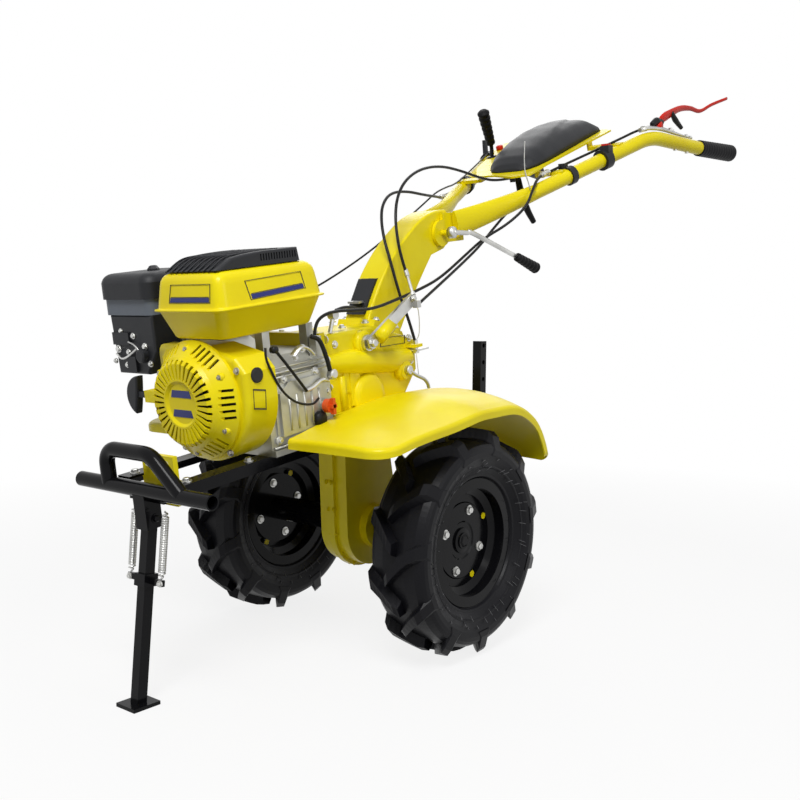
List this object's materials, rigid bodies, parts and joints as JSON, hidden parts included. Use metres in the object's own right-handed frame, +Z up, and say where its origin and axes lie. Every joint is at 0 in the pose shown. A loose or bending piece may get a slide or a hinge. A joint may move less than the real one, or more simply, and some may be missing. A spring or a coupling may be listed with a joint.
{
  "type": "walk-behind power weeder",
  "caption": "Walk-behind petrol power weeder on two driven lugged wheels with a sprung front stand, curved column, tilting handlebars and cable controls.",
  "frame": {"origin": "on the ground, in the middle of the machine's footprint", "axes": "+X forward to the front stand, +Y to the machine's left, +Z up"},
  "size_m": [1.6893, 0.6164, 1.1878],
  "materials": {
    "yellow_paint": "bright yellow gloss coat",
    "black_paint": "satin black coat",
    "tyre_rubber": "matte moulded rubber",
    "cast_aluminium": "rough die casting",
    "black_plastic": "fine grain moulding",
    "grey_plastic": "satin moulding",
    "bare_steel": "zinc plated",
    "muffler_steel": "pressed steel",
    "red_plastic": "dipped lever coat",
    "grip_rubber": "ribbed soft rubber",
    "oil_plug_plastic": "moulded plug",
    "cable_sheath": "smooth vinyl sheath"
  },
  "bodies": {
    "chassis": {"air_cleaner_base": "grey_plastic", "air_cleaner_cover": "black_plastic", "bumper_bar": "black_paint", "carburettor_box": "black_plastic", "clutch_cable": "cable_sheath", "column_box": "black_plastic", "depth_stake": "black_paint", "engine_crankcase": "cast_aluminium", "engine_cylinder": "cast_aluminium", "exhaust_muffler": "muffler_steel", "fan_housing": "yellow_paint", "fender_left": "yellow_paint", "fender_right": "yellow_paint", "frame_rail_left": "black_paint", "frame_rail_right": "black_paint", "front_hitch_plate": "yellow_paint", "fuel_tank": "yellow_paint", "gear_cable": "cable_sheath", "gear_case": "yellow_paint", "gearbox": "yellow_paint", "gearbox_levers": "bare_steel", "handle_column": "yellow_paint", "lifting_hoop": "black_paint", "lock_cable": "cable_sheath", "oil_dipstick": "oil_plug_plastic", "rear_hitch": "yellow_paint", "recoil_starter": "yellow_paint", "reverse_cable": "cable_sheath", "stand_bracket": "black_paint", "stand_springs": "bare_steel", "starter_grip": "black_plastic", "tank_top_cover": "black_plastic", "throttle_cable": "cable_sheath"},
    "wheels": {"wheel_axle": "black_paint", "wheel_rim_left": "black_paint", "wheel_rim_right": "black_paint", "tyre_left": "tyre_rubber", "tyre_right": "tyre_rubber"},
    "stand": {"front_stand": "black_paint"},
    "handlebars": {"handle_head": "yellow_paint", "handlebar_left": "yellow_paint", "handlebar_right": "yellow_paint", "handle_grips": "grip_rubber", "console_plate": "yellow_paint", "console_cover": "black_plastic", "engine_stop_switch": "black_plastic", "cable_clips": "black_plastic", "throttle_lever": "black_plastic", "clutch_hand_lever": "red_plastic", "gear_shift_lever": "bare_steel", "lock_lever": "bare_steel", "cable_stop": "black_plastic", "handle_clamp_lever": "bare_steel"}
  },
  "joints": [
    {"name": "axle_spin", "type": "hinge", "parent": "chassis", "child": "wheels", "pos_m": [0.287, 0, 0.208], "axis": [0, 1, 0], "continuous": true},
    {"name": "stand_fold", "type": "hinge", "parent": "chassis", "child": "stand", "pos_m": [0.79278, 0, 0.29718], "axis": [0, 1, 0], "range_deg": [0, 85], "deforming": ["stand_springs"]},
    {"name": "handlebar_tilt", "type": "hinge", "parent": "chassis", "child": "handlebars", "pos_m": [0.0786, 0, 0.78664], "axis": [0, 1, 0], "range_deg": [-20, 15], "deforming": ["reverse_cable", "gear_cable", "clutch_cable", "lock_cable", "throttle_cable"]}
  ]
}
